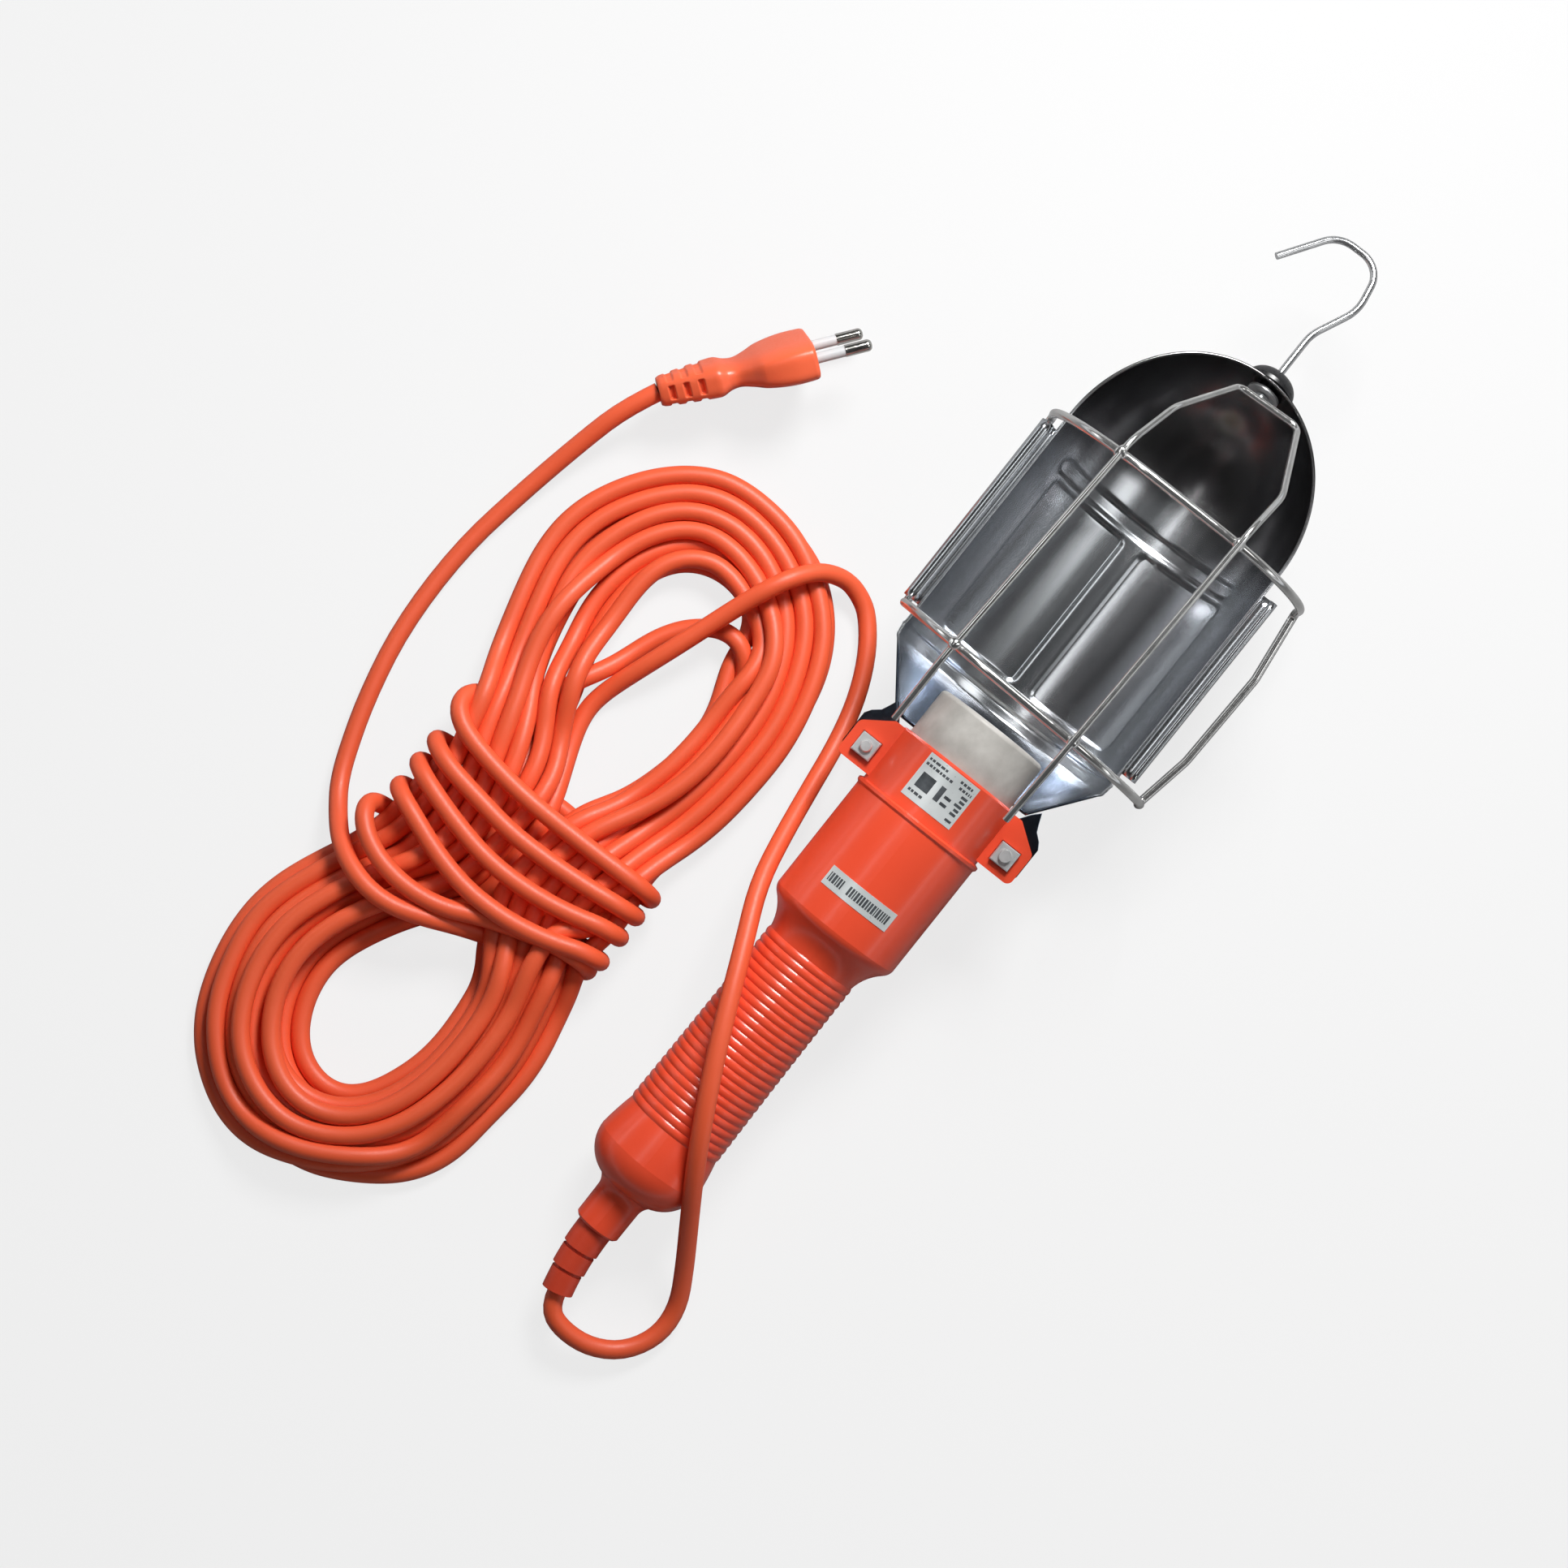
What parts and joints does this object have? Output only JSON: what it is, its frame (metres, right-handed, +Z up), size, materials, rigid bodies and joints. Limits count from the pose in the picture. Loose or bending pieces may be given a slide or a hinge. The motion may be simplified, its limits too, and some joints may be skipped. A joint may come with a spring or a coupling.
{
  "type": "hand inspection lamp",
  "caption": "Hand inspection lamp with a ribbed round handle, E27 lampholder, half-round reflector, hinged wire cage, swivelling hook and a long coiled cord with a flat plug.",
  "frame": {"origin": "bottom centre of the lamp's box, measured without the free cord, its coil and the plug", "axes": "+X along the lamp from its handle to its hook, +Y towards the cage's hinge and the coil, +Z up off the surface it lies on"},
  "size_m": [0.4427, 0.2338, 0.1014],
  "materials": {
    "orange_plastic": "satin moulded plastic, slightly soft",
    "orange_cord": "smooth flexible jacket",
    "plug_plastic": "smooth moulded plastic",
    "reflector_metal": "bright plated sheet, lightly brushed",
    "cage_wire": "plated wire",
    "hook_wire": "zinc plated wire",
    "screw_steel": "zinc plated",
    "holder_plastic": "warm grey moulded thermoset",
    "contact_brass": "stamped, bright",
    "socket_metal": "thin drawn shell",
    "bush_plastic": "black moulded",
    "clamp_plastic": "pale moulded",
    "neutral_sheath": "blue insulation",
    "live_sheath": "brown insulation",
    "label_film": null,
    "pin_metal": "nickel plated",
    "sleeve_plastic": "pale insulating sleeve"
  },
  "bodies": {
    "lamp": {"handle": "orange_plastic", "strain_relief": "orange_cord", "cord_end": "orange_cord", "clamp_upper": "clamp_plastic", "clamp_lower": "clamp_plastic", "clamp_screws": "screw_steel", "lampholder_body": "holder_plastic", "socket_shell": "socket_metal", "contact_base": "holder_plastic", "centre_contact": "contact_brass", "neutral_link": "contact_brass", "neutral_terminal": "contact_brass", "live_terminal": "contact_brass", "terminal_screws": "screw_steel", "neutral_wire": "neutral_sheath", "live_wire": "live_sheath", "reflector": "reflector_metal", "ear_screws": "screw_steel", "ear_washers": "screw_steel", "square_nuts": "screw_steel", "hook_bush": "bush_plastic", "hook_washer": "screw_steel", "rating_label": "label_film", "strip_label": "label_film", "cord_lead": "orange_cord", "cord_tail": "orange_cord", "cord_coil": "orange_cord", "plug_body": "plug_plastic", "plug_pins": "pin_metal", "pin_sleeves": "sleeve_plastic"},
    "cage": {"cage_frame": "cage_wire", "cage_guard": "cage_wire"},
    "hook": {"hook": "hook_wire"}
  },
  "joints": [
    {"name": "cage_hinge", "type": "hinge", "parent": "lamp", "child": "cage", "pos_m": [0.06547, 0.05025, 0.0485], "axis": [-0.9924, 0, -0.1234], "range_deg": [0, 120]},
    {"name": "hook_swivel", "type": "hinge", "parent": "lamp", "child": "hook", "pos_m": [0.15418, 0.00255, 0.04905], "axis": [0.993, 0, -0.1177], "continuous": true}
  ]
}
